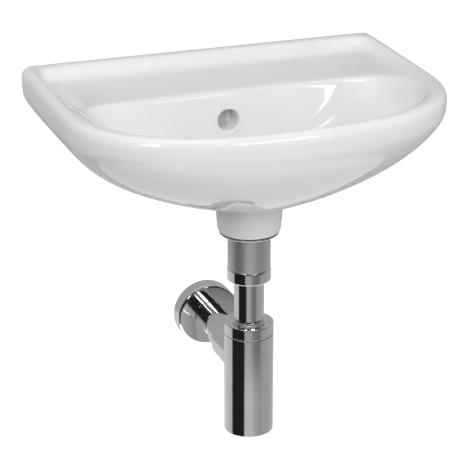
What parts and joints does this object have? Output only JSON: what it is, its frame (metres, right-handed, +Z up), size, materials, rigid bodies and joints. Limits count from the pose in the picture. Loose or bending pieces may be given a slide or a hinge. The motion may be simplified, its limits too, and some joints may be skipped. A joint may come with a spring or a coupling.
{
  "type": "wall hung basin",
  "caption": "Small wall hung hand basin with a sunken deck and overflow, push-open waste, chromed bottle trap with wall pipe and rosette, and wall bolts.",
  "frame": {"origin": "middle of the basin's back top edge, on the wall's face", "axes": "+X along the wall, +Y into the wall, +Z up; the basin looks towards -Y"},
  "size_m": [0.4, 0.3362, 0.3919],
  "materials": {
    "china": "gloss",
    "chrome": "polished",
    "satin_metal": "satin",
    "zinc_steel": "satin",
    "black_rubber": "matte",
    "white_plastic": "matte"
  },
  "bodies": {
    "basin": {"basin": "china", "hanger_bolts": "zinc_steel", "fixing_bushes": "white_plastic", "fixing_washers": "zinc_steel", "fixing_nuts": "zinc_steel", "waste_body": "chrome", "plug_cartridge": "white_plastic", "waste_top_gasket": "black_rubber", "waste_lower_gasket": "black_rubber", "ring_washer": "chrome", "tail_sleeve": "satin_metal", "inlet_seal": "black_rubber"},
    "plug": {"waste_plug": "chrome", "plug_seal": "black_rubber"},
    "inlet_nut": {"inlet_nut": "chrome"},
    "dip_tube": {"dip_tube": "chrome"},
    "bottle": {"bottle": "chrome", "cap_seal": "black_rubber", "slip_ring": "white_plastic", "outlet_seal": "black_rubber", "outlet_slip_ring": "white_plastic", "cleanout_seal": "black_rubber"},
    "cap_nut": {"cap_nut": "chrome"},
    "outlet_nut": {"outlet_nut": "chrome"},
    "wall_pipe": {"wall_pipe": "chrome"},
    "rosette": {"rosette": "chrome", "rosette_seal": "black_rubber"},
    "cleanout_plug": {"cleanout_plug": "chrome"}
  },
  "joints": [
    {"name": "plug_lift", "type": "slide", "parent": "basin", "child": "plug", "axis": [0, 0, 1], "range_m": [0, 0.009]},
    {"name": "inlet_nut_turn", "type": "hinge", "parent": "basin", "child": "inlet_nut", "pos_m": [0, -0.14, -0.206], "axis": [0, 0, 1], "continuous": true},
    {"name": "trap_swivel", "type": "hinge", "parent": "basin", "child": "dip_tube", "pos_m": [0, -0.14, -0.208], "axis": [0, 0, 1], "range_deg": [-90, 90]},
    {"name": "trap_height", "type": "slide", "parent": "dip_tube", "child": "bottle", "axis": [0, 0, 1], "range_m": [-0.03, 0.02]},
    {"name": "cap_nut_turn", "type": "hinge", "parent": "bottle", "child": "cap_nut", "pos_m": [0, -0.14, -0.268], "axis": [0, 0, 1], "continuous": true},
    {"name": "outlet_nut_turn", "type": "hinge", "parent": "bottle", "child": "outlet_nut", "pos_m": [0, -0.075, -0.3056], "axis": [0, 1, 0], "continuous": true},
    {"name": "wall_pipe_slide", "type": "slide", "parent": "bottle", "child": "wall_pipe", "axis": [0, 1, 0], "range_m": [0, 0.006]},
    {"name": "rosette_slide", "type": "slide", "parent": "wall_pipe", "child": "rosette", "axis": [0, -1, 0], "range_m": [0, 0.038]},
    {"name": "cleanout_turn", "type": "hinge", "parent": "bottle", "child": "cleanout_plug", "pos_m": [0, -0.14, -0.39], "axis": [0, 0, 1], "continuous": true}
  ]
}
